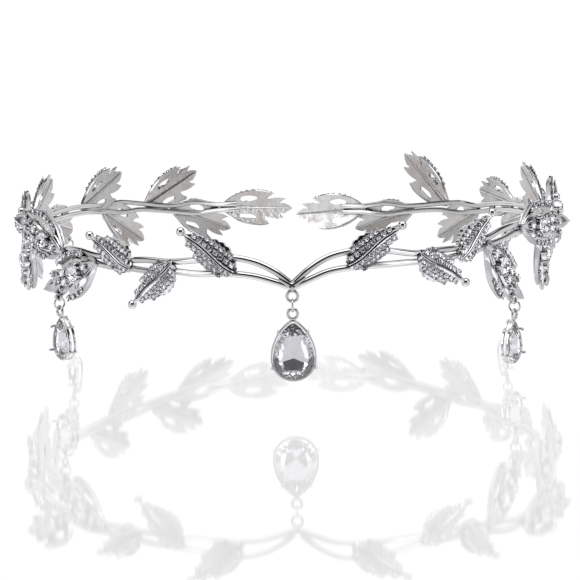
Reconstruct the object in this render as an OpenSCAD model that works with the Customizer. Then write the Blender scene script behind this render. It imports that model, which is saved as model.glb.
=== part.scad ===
// Leaf vine headband with rhinestones. Two polished wires run round an open oval ring,
// fifteen leaves a side are soldered to them, and five pear stones hang free.
// The forehead point faces -Y, the open back faces +Y, and the origin is the middle of
// the ring at the level of the vine.

/* [Ring] */
// Half the width of the open ring, to the middle of the wires
half_width = 73; // [68:1:78]
// Half the depth of the ring, from the forehead point to the open back
half_depth = 107; // [101:1:112]
// Diameter of the two wires of the vine
wire_d = 1.6; // [1.4:0.1:1.8]

/* [Large leaves] */
// Length of a large leaf from its vertex to its tip
leaf_l = 25; // [23:0.5:26]
// Width of a large leaf across its outer petals
leaf_w = 11.6; // [10.5:0.1:12.5]
// Thickness of the cast leaves
leaf_t = 1.1; // [0.9:0.1:1.3]
// How far each half of a leaf is folded back from the midrib, in degrees
leaf_fold = 13; // [8:1:18]

/* [Small leaves] */
// Length of a small leaf from its base to its neck
small_l = 14.5; // [13:0.5:15.5]
// Width of a small leaf
small_w = 8; // [7:0.5:9]
// Diameter of the ball at the tip of a small leaf
ball_d = 2.2; // [1.8:0.1:2.4]

/* [Stones] */
// Diameter of the round stone in the middle of a large leaf
stone_d = 4.6; // [4.2:0.1:4.8]
// Diameter of the accent stones before and after it
accent_d = 2; // [1.8:0.1:2.1]

/* [Drops] */
// Width of the pear stone on the forehead
front_pear_w = 9.8; // [9:0.1:10.5]
// Length of the pear stone on the forehead
front_pear_l = 13.5; // [12.5:0.1:14.5]
// Width of the pear stones under the leaves
side_pear_w = 6.8; // [6.5:0.1:7.8]
// Length of the pear stones under the leaves
side_pear_l = 10; // [9.5:0.1:11]
// Wire of the eyes and of the loops on the drops
eye_wire = 0.6; // [0.5:0.05:0.65]
// Wire of the links between eye and loop
link_wire = 0.5; // [0.4:0.05:0.55]

/* [Hidden] */
LEFT = -1;
RIGHT = 1;
SIDES = [LEFT, RIGHT];

// At the forehead point the two wires of each side leave one thicker stem
stem_z = -3.9;
stem_d = 2.2;
STEM_BENDS = [-0.4, 2.4];

// The vine, by angle from the forehead point. Columns: angle, height of the left vine,
// height of the right vine, half the distance between the two wires.
VINE = [
    [0, stem_z, stem_z, 0.35],
    [3, -1.7, -1.4, 1.2],
    [7, 0.2, 1, 1.7],
    [12, 1, 1.9, 1.9],
    [18, 0.5, 1.7, 1.6],
    [24, 0.4, 1.1, 1],
    [28, 0.3, 1, 1.3],
    [33, 0.3, 1.3, 0.95],
    [37, 0.4, 1.9, 1.2],
    [41, 0.5, 2.6, 0.95],
    [46, 0.9, 3.7, 1.2],
    [51, 1.2, 4.4, 0.95],
    [59, 1, 3.4, 1],
    [68, 0.8, 2.2, 1],
    [75, 0.6, 1.4, 1.3],
    [83, 0.6, 0.6, 0.95],
    [95, 0.8, 0.2, 1],
    [99, 0.9, 0.2, 1.3],
    [105, 1, 0, 0.95],
    [113, 1.2, -0.1, 1],
    [120, 1, -1, 1],
    [127, 0.2, -2.4, 1],
    [133, -0.2, -2.7, 1.6],
    [139, -0.8, -3, 1],
    [148, -2.5, -4.3, 0.95],
    [155, -3, -4.8, 1.8],
    [161, -3.4, -5, 0.95],
    [167, -3.6, -5.2, 0.95],
];
ANGLE = 0;
HALF_GAP = 3;
// The angles where the wires have a bend: close together on the forehead
VINE_BENDS = concat([for (a = [0 : 4 : 44]) a], [for (a = [52 : 7.6 : 166]) a]);
wire_sides = 5;
stem_sides = 8;
// The wires run this far inside the ring that the leaves follow
wire_inset = 0.9;

// The leaves of one side, from the forehead to the back. Columns: whether the leaf is a
// large one, then for the left and for the right side: angle of its base, its height,
// its pitch above the ring's plane, and how far its tip leans outwards.
LEAVES = [
    [false, [10.5, -0.6, 36, 0], [10.4, 0.4, 33, 0]],
    [false, [22.4, 1.2, -40, 0], [24.4, 1.8, -29, 0]],
    [false, [31.7, -0.6, 26, 0], [33.4, -0.4, 39, 0]],
    [true, [40.3, 0, -20, 3], [40.1, 2, -38, -4]],
    [true, [50.6, 1, 17, 9], [51.5, 4.9, -2, 10]],
    [true, [66, 0.6, -30, 0], [59.2, 2, -39.5, -7]],
    [true, [79, 0.6, 20, 0], [71, 2.2, 21, -4]],
    [true, [85, 0, -32, -6], [83, 0.4, -28, -6]],
    [true, [93, 0.6, 28, -6], [97, 0.3, 29, -4]],
    [true, [104, 0.6, -12, 0], [106.5, -0.8, -12, 0]],
    [true, [120, 1.2, 22, -4], [113.5, 0.6, 6, 0]],
    [true, [127.5, -0.4, -27, 0], [127, -2.6, -24, 0]],
    [true, [141, -0.8, 22, 0], [137, -2.4, 38, 0]],
    [true, [148.5, -2.6, -19, 0], [147, -4.4, -17, 0]],
    [true, [162, -3.4, -4, 0], [160, -5, -5, 0]],
];
IS_LARGE = 0;
LARGE_ROWS = [for (i = [0 : len(LEAVES) - 1]) if (LEAVES[i][IS_LARGE]) i];
SMALL_ROWS = [for (i = [0 : len(LEAVES) - 1]) if (!LEAVES[i][IS_LARGE]) i];
// A leaf follows the chord of the ring under it, so its heading is the ring's own
// heading this many degrees past the base.
chord_angle = 3;
// The leaves lie on the outer face of the wires and are sunk into them by this much
leaf_lift = -0.3;

// A leaf is drawn in rows across it, from its base to its tip. Each row runs from the
// midrib to the edge. Columns: place of the row on the midrib, place and distance of its
// end on the edge, and how much of the petal's rise it has, all as shares.
LARGE_LEAF = [
    [0, 0, 0.1, 0],
    [0.15, 0.12, 0.66, 0.7],
    [0.4, 0.42, 1, 1],
    [0.52, 0.67, 0.78, 0.7],
    [0.6, 0.65, 0.52, 0.2],
    [0.7, 0.84, 0.5, 0.6],
    [1, 1, 0.1, 0],
];
SMALL_LEAF = [
    [0, 0, 0.16, 0],
    [0.12, 0.12, 0.62, 0.7],
    [0.34, 0.34, 1, 1],
    [0.56, 0.58, 0.88, 1],
    [0.78, 0.82, 0.5, 0.5],
    [1, 1, 0.16, 0],
];
// Where the valley and the ridge of the petal lie on a row, as shares of its length
valley_share = 0.42;
ridge_share = 0.74;
petal_rise = 0.5;
rib_rise = 0.35;
small_fold = 18;
small_t = 1.1;
small_rise = 0.4;
neck_d = 1;
neck_l = 1.6;

// Round stones: heights and radii as shares of the stone's diameter
stone_x = 0.36 * leaf_l;
stone_r = stone_d / 2;
crown_h = 0.16;
girdle_h = 0.05;
pavilion_h = 0.36;
table_r = 0.3;
stone_sides = 8;
stone_gap = 0.13;
seat_floor = 0.3;
stone_base = seat_floor + stone_gap;
stone_girdle_z = stone_base + pavilion_h * stone_d;
seat_r = 1.65;
prong_d = 0.9;
prong_angle = 30;
prong_top = stone_girdle_z + girdle_h * stone_d + 0.5;
prong_at = stone_r + stone_gap + prong_d / 4;
// The two slots beside the midrib, partly under the stone
slot_inner_l = 3;
slot_outer_l = 5.6;
slot_inner_y = 1.5;
slot_outer_y = 3.2;

// Accent stones of a large leaf. Columns: share of its length, share of its half width.
ACCENTS = [
    [0.17, 0],
    [0.55, 0.2],
    [0.55, -0.2],
];
accent_sides = 6;
accent_h = 0.9;
accent_table = 0.6;
accent_z = leaf_t + rib_rise + 0.12;

// Drops: where the pear hangs in its own frame, with the eye's middle at the origin,
// X along the ring, -Y outwards and Z up.
clear = 0.05;
wire_pitch = (eye_wire + link_wire) / 2 + clear;
front_eye_r = 1.25;
side_eye_r = 0.85;
link_r = 1.45;
loop_r = 1.15;
ring_sides = 12;
wire_faces = 5;

rim = 0.35;
rim_h = 0.65;
rail_gap = 0.75;
rim_inside = 0.12;
setting_depth = 2 * rim_h + rail_gap;
// How much longer than wide a rim around the sharp end of a pear comes out
apex_share = 2.4;
pear_points_n = 20;
pear_crown_h = 1.3;
pear_girdle_h = 0.3;
pear_table = 0.62;
pear_pavilion_h = 2;
claw_d = 0.6;
claw_top = 0.8;
claw_inset = 0.05;
CLAW_HEIGHTS = [0.6, -0.2];

// The five drops. Columns: name, side, the row of LEAVES that it hangs from, and where on
// that leaf its eye sits, as shares of the leaf's length and half width. The front one
// hangs from the knuckle.
DROPS = [
    ["front", 0, 0, 0, 0],
    ["left_temple", LEFT, 3, 0.78, -0.44],
    ["right_temple", RIGHT, 3, 0.85, -0.28],
    ["left_rear", LEFT, 9, 0.82, -0.42],
    ["right_rear", RIGHT, 9, 0.82, -0.42],
];

function side_name(side) = side == LEFT ? "left" : "right";
function stone_name(side, row) = str("stone_", side_name(side), "_", row + 1);

// Smooth height or gap of the vine at an angle, through the rows of a table
function row_slope(table, column, i) =
    let (
        a = max(i - 1, 0),
        b = min(i + 1, len(table) - 1)
    )
    (table[b][column] - table[a][column]) / (table[b][ANGLE] - table[a][ANGLE]);

function row_at(table, angle, i = 0) =
    i >= len(table) - 2 || angle < table[i + 1][ANGLE] ? i : row_at(table, angle, i + 1);

function smooth_at(table, column, angle) =
    let (
        i = row_at(table, angle),
        span = table[i + 1][ANGLE] - table[i][ANGLE],
        u = (angle - table[i][ANGLE]) / span,
        a = table[i][column],
        b = table[i + 1][column],
        slope_a = row_slope(table, column, i) * span,
        slope_b = row_slope(table, column, i + 1) * span
    )
    a * (2 * u^3 - 3 * u^2 + 1) + slope_a * (u^3 - 2 * u^2 + u)
    + b * (3 * u^2 - 2 * u^3) + slope_b * (u^3 - u^2);

function height_column(side) = side == LEFT ? 1 : 2;

// A point of the ring on the right side, and the ring's heading there
function ring_point(angle, height, inset = 0) =
    [(half_width - inset) * sin(angle), -(half_depth - inset) * cos(angle), height];
function ring_heading(angle) = atan2(half_depth * sin(angle), half_width * cos(angle));

// One wire of the vine: way is 1 for the upper and -1 for the lower wire, and 0 between
function wire_path(side, way, bends) = [
    for (angle = bends)
        ring_point(
            angle,
            smooth_at(VINE, height_column(side), angle) + way * smooth_at(VINE, HALF_GAP, angle),
            wire_inset
        )
];

function unit(v) = v / norm(v);
function path_heading(path, i) =
    unit(path[min(i + 1, len(path) - 1)] - path[max(i - 1, 0)]);

// A round wire swept along a path that never runs straight up
module tube(path, d, sides) {
    last = len(path) - 1;
    points = [
        for (i = [0 : last])
            let (
                ahead = path_heading(path, i),
                across = unit(cross(ahead, [0, 0, 1])),
                up = cross(across, ahead)
            )
            for (k = [0 : sides - 1])
                let (turn = 360 * k / sides)
                path[i] + d / 2 * (cos(turn) * across + sin(turn) * up)
    ];
    skin = [
        for (i = [0 : last - 1])
            for (k = [0 : sides - 1])
                let (next = (k + 1) % sides)
                [i * sides + k, i * sides + next, (i + 1) * sides + next, (i + 1) * sides + k]
    ];
    start_cap = [for (k = [sides - 1 : -1 : 0]) k];
    end_cap = [for (k = [0 : sides - 1]) last * sides + k];
    polyhedron(points, concat(skin, [start_cap, end_cap]));
}

// Children are drawn on the right side and mirrored to the left one
module on_side(side) {
    if (side == LEFT) {
        mirror([1, 0, 0]) children();
    } else {
        children();
    }
}

function leaf_place(side, row) = LEAVES[row][side == LEFT ? 1 : 2];
function leaf_origin(place) = ring_point(place[0], place[1]);
function leaf_heading(place) = ring_heading(place[0] + chord_angle) - place[3];

// Where a point of a leaf lies, for its share along, across and its height
function leaf_point(place, along, across, height) =
    let (
        x = along * leaf_l,
        y = across * leaf_w / 2,
        heading = leaf_heading(place),
        level = x * cos(place[2]) - y * sin(place[2]),
        rise = x * sin(place[2]) + y * cos(place[2]),
        out = height - abs(y) * tan(leaf_fold) + leaf_lift
    )
    leaf_origin(place) + [
        level * cos(heading) + out * sin(heading),
        level * sin(heading) - out * cos(heading),
        rise
    ];

// Children have X along the leaf, Y across it and Z out of its face
module at_leaf(side, row) {
    place = leaf_place(side, row);
    on_side(side)
        translate(leaf_origin(place))
            rotate([90, -place[2], leaf_heading(place)])
                translate([0, 0, leaf_lift])
                    children();
}

// The points of one row on a leaf: how far it is out from the midrib, and how high
function row_point(row, way, share, length, half_w, fold, height) =
    let (y = share * row[2] * half_w)
    [
        (row[0] + share * (row[1] - row[0])) * length,
        way * y,
        height - y * tan(fold),
    ];
// Across the face: edge, ridge and valley of one petal, the midrib, and the other petal
function row_points(row, length, half_w, fold, thick, rise) = [
    row_point(row, 1, 1, length, half_w, fold, 0),
    row_point(row, 1, ridge_share, length, half_w, fold, thick + rise * row[3]),
    row_point(row, 1, valley_share, length, half_w, fold, thick),
    [row[0] * length, 0, thick + rib_rise],
    row_point(row, -1, valley_share, length, half_w, fold, thick),
    row_point(row, -1, ridge_share, length, half_w, fold, thick + rise * row[3]),
    row_point(row, -1, 1, length, half_w, fold, 0),
];
row_n = 7;

// A leaf with a modelled face and a back of two flat halves
module blade(rows, length, half_w, fold, thick, rise) {
    last = len(rows) - 1;
    back = row_n * len(rows);
    points = concat(
        [for (row = rows) each row_points(row, length, half_w, fold, thick, rise)],
        [[0, 0, 0], [length, 0, 0]]
    );
    face = [
        for (i = [0 : last - 1])
            for (k = [0 : row_n - 2])
                let (a = i * row_n + k, b = a + row_n)
                [a, b, b + 1, a + 1]
    ];
    base_end = concat([back], [for (k = [0 : row_n - 1]) k]);
    tip_end = concat([back + 1], [for (k = [row_n - 1 : -1 : 0]) last * row_n + k]);
    upper_half = concat([back, back + 1], [for (i = [last : -1 : 0]) i * row_n]);
    lower_half = concat([back + 1, back], [for (i = [0 : last]) i * row_n + row_n - 1]);
    polyhedron(points, concat(face, [base_end, tip_end, upper_half, lower_half]));
}

// Half of the leaf's slots: a slender opening beside the midrib
module slot() {
    linear_extrude(4 * leaf_t, center = true)
        polygon([
            [-slot_inner_l / 2, slot_inner_y],
            [slot_inner_l / 2, slot_inner_y],
            [slot_outer_l / 2, slot_outer_y],
            [-slot_outer_l / 2, slot_outer_y],
        ]);
}

module large_leaf() {
    difference() {
        blade(LARGE_LEAF, leaf_l, leaf_w / 2, leaf_fold, leaf_t, petal_rise);
        translate([stone_x, 0, seat_floor])
            cylinder(h = stone_d, r = seat_r, $fn = 6);
        for (way = [0, 1])
            mirror([0, way, 0])
                translate([stone_x, 0, 0])
                    slot();
    }
    for (turn = [prong_angle, 180 - prong_angle, 180 + prong_angle, -prong_angle])
        translate([stone_x, 0, 0])
            rotate([0, 0, turn])
                translate([prong_at, 0, leaf_t / 4])
                    cylinder(h = prong_top - leaf_t / 4, d1 = prong_d, d2 = 0, $fn = 3);
}

module small_leaf() {
    blade(SMALL_LEAF, small_l, small_w / 2, small_fold, small_t, small_rise);
    translate([small_l - 0.5, 0, small_t / 2])
        rotate([0, 90, 0])
            cylinder(h = neck_l, d = neck_d, $fn = 5);
    translate([small_l + neck_l, 0, small_t / 2])
        sphere(d = ball_d, $fn = 6);
}

// A ring of wire that stands in the XZ plane
module wire_ring(r, wire) {
    rotate([90, 0, 0])
        rotate_extrude($fn = ring_sides)
            translate([r, 0])
                circle(d = wire, $fn = wire_faces);
}

function drop_place(drop) = leaf_place(drop[1], drop[2]);
function is_front(drop) = drop[1] == 0;
// The middle of a drop's eye, and how far the drop is turned from the forehead
function drop_origin(drop) =
    is_front(drop)
    ? [0, wire_inset - half_depth, stem_z - stem_d / 2 - front_eye_r]
    : let (p = leaf_point(drop_place(drop), drop[3], drop[4], leaf_t / 2))
      [drop[1] * p[0], p[1], p[2] - side_eye_r];
function drop_turn(drop) = is_front(drop) ? 0 : drop[1] * leaf_heading(drop_place(drop));

module at_drop(drop) {
    translate(drop_origin(drop))
        rotate([0, 0, drop_turn(drop)])
            children();
}

// Heights in a drop's own frame, from the eye's middle at 0
function eye_r(drop) = is_front(drop) ? front_eye_r : side_eye_r;
function link_z(drop) = -eye_r(drop) + wire_pitch - link_r;
function loop_z(drop) = link_z(drop) - link_r + wire_pitch - loop_r;
function pear_top(drop) = loop_z(drop) - loop_r - eye_wire / 4;

module vine_frame() {
    color("silver")
        union() {
            for (side = SIDES)
                on_side(side) {
                    for (way = [1, -1])
                        tube(wire_path(side, way, VINE_BENDS), wire_d, wire_sides);
                    tube(wire_path(side, 0, STEM_BENDS), stem_d, stem_sides);
                }
            for (side = SIDES) {
                for (row = LARGE_ROWS)
                    at_leaf(side, row) large_leaf();
                for (row = SMALL_ROWS)
                    at_leaf(side, row) small_leaf();
            }
            for (drop = DROPS)
                at_drop(drop) wire_ring(eye_r(drop), eye_wire);
        }
}

// A cut stone from rings of points: flat table, crown, girdle and pointed pavilion
module cut_stone(table, girdle, table_z, girdle_top, girdle_bottom, culet) {
    n = len(girdle);
    function raised(outline, z) = [for (p = outline) [p[0], p[1], z]];
    points = concat(
        raised(table, table_z), raised(girdle, girdle_top), raised(girdle, girdle_bottom), [culet]
    );
    walls = [
        for (level = [0, 1])
            for (k = [0 : n - 1])
                let (next = (k + 1) % n)
                [level * n + k, level * n + next, (level + 1) * n + next, (level + 1) * n + k]
    ];
    pavilion = [for (k = [0 : n - 1]) [2 * n + k, 2 * n + (k + 1) % n, 3 * n]];
    top = [for (k = [n - 1 : -1 : 0]) k];
    polyhedron(points, concat(walls, pavilion, [top]));
}

function round_outline(r, n) = [for (k = [0 : n - 1]) r * [cos(360 * k / n), sin(360 * k / n)]];

module leaf_stone(side, row) {
    color("lightcyan")
        at_leaf(side, row)
            translate([stone_x, 0, 0])
                cut_stone(
                    round_outline(table_r * stone_d, stone_sides),
                    round_outline(stone_r, stone_sides),
                    stone_girdle_z + (girdle_h + crown_h) * stone_d,
                    stone_girdle_z + girdle_h * stone_d,
                    stone_girdle_z,
                    [0, 0, stone_base]
                );
}

module accent_stone() {
    cylinder(h = accent_h, d1 = accent_d, d2 = accent_d * accent_table, $fn = accent_sides);
}

module accent_stones(side) {
    color("white")
        for (row = LARGE_ROWS)
            at_leaf(side, row)
                for (place = ACCENTS)
                    translate([place[0] * leaf_l, place[1] * leaf_w / 2, accent_z])
                        accent_stone();
}

module link(drop) {
    color("silver")
        at_drop(drop)
            translate([0, 0, link_z(drop)])
                rotate([0, 0, 90])
                    wire_ring(link_r, link_wire);
}

function pear_w(drop) = is_front(drop) ? front_pear_w : side_pear_w;
function pear_l(drop) = is_front(drop) ? front_pear_l : side_pear_l;

// A pear outline of three arcs, with the middle of its round end at the origin
function pear_outline(w, l) =
    let (
        r = w / 2,
        apex = l - r,
        big_r = (apex^2 + r^2) / (2 * r),
        reach = asin(apex / big_r),
        side_n = pear_points_n / 4
    )
    concat(
        [for (k = [0 : side_n - 1])
            let (a = reach * k / side_n) [big_r * cos(a) - big_r + r, big_r * sin(a)]],
        [[0, apex]],
        [for (k = [side_n - 1 : -1 : 1])
            let (a = reach * k / side_n) [big_r - r - big_r * cos(a), big_r * sin(a)]],
        [for (k = [0 : pear_points_n / 2 - 1])
            let (a = 180 + 360 * k / pear_points_n) r * [cos(a), sin(a)]]
    );

// Half the width of that outline at a height over the middle of its round end
function pear_x(w, l, height) =
    let (
        r = w / 2,
        big_r = ((l - r)^2 + r^2) / (2 * r)
    )
    height < 0 ? sqrt(r^2 - height^2) : sqrt(big_r^2 - height^2) - big_r + r;

function setting_w(drop) = pear_w(drop) + 2 * (rim + rim_inside);
function setting_l(drop) = pear_l(drop) + apex_share * (rim + rim_inside);

// The height of the middle of a pear's round end
function pear_z(drop) = pear_top(drop) - setting_l(drop) + setting_w(drop) / 2;

module at_pear(drop) {
    at_drop(drop)
        translate([0, 0, pear_z(drop)])
            rotate([90, 0, 0])
                children();
}

// Two pear shaped rails, the claws that join them and the loop on top
module setting(drop) {
    w = setting_w(drop);
    l = setting_l(drop);
    color("silver") {
        at_pear(drop) {
            for (z = [-setting_depth, -rim_h])
                translate([0, 0, z])
                    linear_extrude(rim_h)
                        difference() {
                            polygon(pear_outline(w, l));
                            polygon(pear_outline(w - 2 * rim, l - apex_share * rim));
                        }
            for (height = CLAW_HEIGHTS)
                for (way = [1, -1])
                    translate([
                        way * (pear_x(w, l, height * w) - claw_inset), height * w, -setting_depth
                    ])
                        cylinder(h = setting_depth + claw_top, d = claw_d, $fn = 16);
            translate([0, l - w / 2 - claw_d / 2, -setting_depth])
                cylinder(h = setting_depth, d = claw_d, $fn = 16);
        }
        at_drop(drop)
            translate([0, 0, loop_z(drop)])
                wire_ring(loop_r, eye_wire);
    }
}

module pear(drop) {
    outline = pear_outline(pear_w(drop), pear_l(drop));
    color("azure")
        at_pear(drop)
            cut_stone(
                [for (p = outline) pear_table * p],
                outline,
                pear_girdle_h + pear_crown_h,
                pear_girdle_h,
                0,
                [0, 0, -pear_pavilion_h]
            );
}

vine_frame();
for (side = SIDES) {
    for (row = LARGE_ROWS)
        leaf_stone(side, row);
    accent_stones(side);
}
for (drop = DROPS) {
    link(drop);
    setting(drop);
    pear(drop);
}
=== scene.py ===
import math

import bmesh
import bpy
import numpy as np
from mathutils import Matrix, Vector

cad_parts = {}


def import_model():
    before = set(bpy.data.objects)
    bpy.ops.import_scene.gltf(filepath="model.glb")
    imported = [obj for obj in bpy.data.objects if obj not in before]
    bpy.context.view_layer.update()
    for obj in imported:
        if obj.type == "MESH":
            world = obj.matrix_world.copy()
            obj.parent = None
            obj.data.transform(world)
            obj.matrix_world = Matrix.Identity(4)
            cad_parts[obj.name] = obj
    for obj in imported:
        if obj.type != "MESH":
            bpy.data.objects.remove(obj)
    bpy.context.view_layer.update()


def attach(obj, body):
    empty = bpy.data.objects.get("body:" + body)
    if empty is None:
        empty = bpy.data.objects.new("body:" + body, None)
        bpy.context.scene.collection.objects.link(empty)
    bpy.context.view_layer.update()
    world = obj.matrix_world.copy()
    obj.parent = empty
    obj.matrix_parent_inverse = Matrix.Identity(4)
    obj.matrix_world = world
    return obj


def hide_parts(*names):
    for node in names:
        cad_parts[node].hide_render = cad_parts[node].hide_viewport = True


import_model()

# A leaf vine headband with rhinestones. The places and sizes of the solids in part.scad are
# repeated here, with finer forms: wires, leaves and settings of bright metal, and stones of
# cut glass. Sizes are in millimetres and become metres when a mesh is made.
MM = 0.001
LEFT, RIGHT = -1, 1
SIDES = (LEFT, RIGHT)
SIDE_NAME = {LEFT: "left", RIGHT: "right"}

HALF_WIDTH = 73
HALF_DEPTH = 107
WIRE_D = 1.6
WIRE_INSET = 0.9
LEAF_L = 25
LEAF_W = 11.6
LEAF_T = 1.1
LEAF_FOLD = math.radians(13)
LEAF_LIFT = -0.3
# A leaf heads where the ring does this many degrees beyond the leaf's base
CHORD_ANGLE = 3
SMALL_L = 14.5
SMALL_W = 8
SMALL_FOLD = math.radians(18)
BALL_D = 2.2
STONE_D = 4.6
ACCENT_D = 2
LINK_WIRE = 0.5
EYE_WIRE = 0.6
# The wire of eyes and loops as the photo shows it, a little thicker than in the solids
EYE_WIRE_SEEN = 0.78

# The vine, by angle from the forehead point. Columns: angle, height of the left vine,
# height of the right vine, half the distance between the two wires.
STEM_Z = -3.9
STEM_D = 2.2
VINE = [
    (0, STEM_Z, STEM_Z, 0.35),
    (3, -1.7, -1.4, 1.2),
    (7, 0.2, 1, 1.7),
    (12, 1, 1.9, 1.9),
    (18, 0.5, 1.7, 1.6),
    (24, 0.4, 1.1, 1),
    (28, 0.3, 1, 1.3),
    (33, 0.3, 1.3, 0.95),
    (37, 0.4, 1.9, 1.2),
    (41, 0.5, 2.6, 0.95),
    (46, 0.9, 3.7, 1.2),
    (51, 1.2, 4.4, 0.95),
    (59, 1, 3.4, 1),
    (68, 0.8, 2.2, 1),
    (75, 0.6, 1.4, 1.3),
    (83, 0.6, 0.6, 0.95),
    (95, 0.8, 0.2, 1),
    (99, 0.9, 0.2, 1.3),
    (105, 1, 0, 0.95),
    (113, 1.2, -0.1, 1),
    (120, 1, -1, 1),
    (127, 0.2, -2.4, 1),
    (133, -0.2, -2.7, 1.6),
    (139, -0.8, -3, 1),
    (148, -2.5, -4.3, 0.95),
    (155, -3, -4.8, 1.8),
    (161, -3.4, -5, 0.95),
    (167, -3.6, -5.2, 0.95),
]
# Its columns
HEIGHT_COLUMN = {LEFT: 1, RIGHT: 2}
HALF_GAP = 3
VINE_END = 166

# The leaves of one side, from the forehead to the back. Columns: whether the leaf is a
# large one, then for the left and for the right side: angle of its base, its height,
# its pitch above the ring's plane, and how far its tip leans outwards.
LEAVES = [
    (False, (10.5, -0.6, 36, 0), (10.4, 0.4, 33, 0)),
    (False, (22.4, 1.2, -40, 0), (24.4, 1.8, -29, 0)),
    (False, (31.7, -0.6, 26, 0), (33.4, -0.4, 39, 0)),
    (True, (40.3, 0, -20, 3), (40.1, 2, -38, -4)),
    (True, (50.6, 1, 17, 9), (51.5, 4.9, -2, 10)),
    (True, (66, 0.6, -30, 0), (59.2, 2, -39.5, -7)),
    (True, (79, 0.6, 20, 0), (71, 2.2, 21, -4)),
    (True, (85, 0, -32, -6), (83, 0.4, -28, -6)),
    (True, (93, 0.6, 28, -6), (97, 0.3, 29, -4)),
    (True, (104, 0.6, -12, 0), (106.5, -0.8, -12, 0)),
    (True, (120, 1.2, 22, -4), (113.5, 0.6, 6, 0)),
    (True, (127.5, -0.4, -27, 0), (127, -2.6, -24, 0)),
    (True, (141, -0.8, 22, 0), (137, -2.4, 38, 0)),
    (True, (148.5, -2.6, -19, 0), (147, -4.4, -17, 0)),
    (True, (162, -3.4, -4, 0), (160, -5, -5, 0)),
]
LARGE_ROWS = [i for i, leaf in enumerate(LEAVES) if leaf[0]]
SMALL_ROWS = [i for i, leaf in enumerate(LEAVES) if not leaf[0]]

# The five drops. Columns: name, side, the leaf that it hangs from, and where on that leaf
# its eye sits, as shares of the leaf's length and half width.
DROPS = [
    ("front", 0, 0, 0, 0),
    ("left_temple", LEFT, 3, 0.78, -0.44),
    ("right_temple", RIGHT, 3, 0.85, -0.28),
    ("left_rear", LEFT, 9, 0.82, -0.42),
    ("right_rear", RIGHT, 9, 0.82, -0.42),
]
# Width and length of the pears
FRONT_PEAR = (9.8, 13.5)
SIDE_PEAR = (6.8, 10)
FRONT_EYE_R = 1.25
SIDE_EYE_R = 0.85
LINK_R = 1.45
LOOP_R = 1.15
WIRE_PITCH = (EYE_WIRE + LINK_WIRE) / 2 + 0.05
RIM = 0.35
RIM_INSIDE = 0.12
RIM_H = 0.65
RAIL_GAP = 0.75
SETTING_DEPTH = 2 * RIM_H + RAIL_GAP
APEX_SHARE = 2.4

# Where the stones of a large leaf sit, as shares of its length and half width, and for the
# accent stones also their size as a share of ACCENT_D
STONE_X = 0.36
ACCENTS = [(0.17, 0, 0.85), (0.55, 0.2, 1), (0.55, -0.2, 1)]


# Forms and meshes

HERE = Matrix.Identity(4)
QUARTER_X = Matrix.Rotation(math.radians(90), 4, "X")
QUARTER_Z = Matrix.Rotation(math.radians(90), 4, "Z")
# Edges that turn by more than this stay sharp
SHARP = math.radians(35)


class Form:
    """Points in millimetres and faces, each face with the number of its material."""

    def __init__(self):
        self.points = []
        self.faces = []
        self.numbers = []

    def add(self, points, faces):
        start = len(self.points)
        self.points.extend(tuple(p) for p in points)
        self.faces.extend(tuple(start + i for i in face) for face in faces)
        self.numbers.extend([0] * len(faces))
        return self

    def stamp(self, other, matrix=HERE, number=None):
        """Adds another form, moved by a 4x4 matrix. A mirroring matrix turns its faces."""
        start = len(self.points)
        m = np.array(matrix)
        moved = np.array(other.points) @ m[:3, :3].T + m[:3, 3]
        self.points.extend(map(tuple, moved))
        turned = np.linalg.det(m[:3, :3]) < 0
        for face, own in zip(other.faces, other.numbers):
            face = tuple(start + i for i in (reversed(face) if turned else face))
            self.faces.append(face)
            self.numbers.append(own if number is None else number)
        return self


def add_object(name, data):
    """A new object in the scene."""
    thing = bpy.data.objects.new(name, data)
    bpy.context.scene.collection.objects.link(thing)
    return thing


def make_piece(name, form, materials, body, replaced=(), flat=False):
    """One mesh object from a form, riding on a CAD body and standing for CAD nodes."""
    mesh = bpy.data.meshes.new(name)
    mesh.from_pydata([Vector(p) * MM for p in form.points], [], form.faces)
    for material in materials:
        mesh.materials.append(material)
    mesh.polygons.foreach_set("material_index", form.numbers)
    mesh.polygons.foreach_set("use_smooth", [not flat] * len(form.faces))
    mesh.update()
    if not flat:
        mesh.set_sharp_from_angle(angle=SHARP)
    piece = add_object(name, mesh)
    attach(piece, body)
    if replaced:
        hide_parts(*replaced)


def smooth_row(rows, steps):
    """Rows of numbers, resampled on a smooth curve through them (Catmull-Rom)."""
    rows = np.array(rows, float)
    last = len(rows) - 1
    out = []
    for t in np.linspace(0, last, steps):
        i = min(int(t), last - 1)
        u = t - i
        before = rows[i - 1] if i > 0 else 2 * rows[i] - rows[i + 1]
        after = rows[i + 2] if i + 2 <= last else 2 * rows[i + 1] - rows[i]
        a, b = rows[i], rows[i + 1]
        out.append(
            a
            + 0.5 * u * (b - before)
            + u**2 * (before - 2.5 * a + 2 * b - 0.5 * after)
            + u**3 * (1.5 * (a - b) + 0.5 * (after - before))
        )
    return np.array(out)


def dome(v):
    """The height of a round bar's section, from its middle, 0, to its edges, 1 and -1."""
    return max(1 - v**2, 0) ** 0.5


def soft_flat(v):
    """The same of a flat bar with rounded edges."""
    return max(1 - abs(v) ** 5, 0) ** 0.4


def roof(v):
    """The same of a bar with a ridge."""
    return 1 - 0.7 * abs(v) ** 1.3


def low_arch(v):
    """The same of a broad bar that is nearly flat."""
    return 1 - 0.25 * abs(v) ** 3


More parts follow.
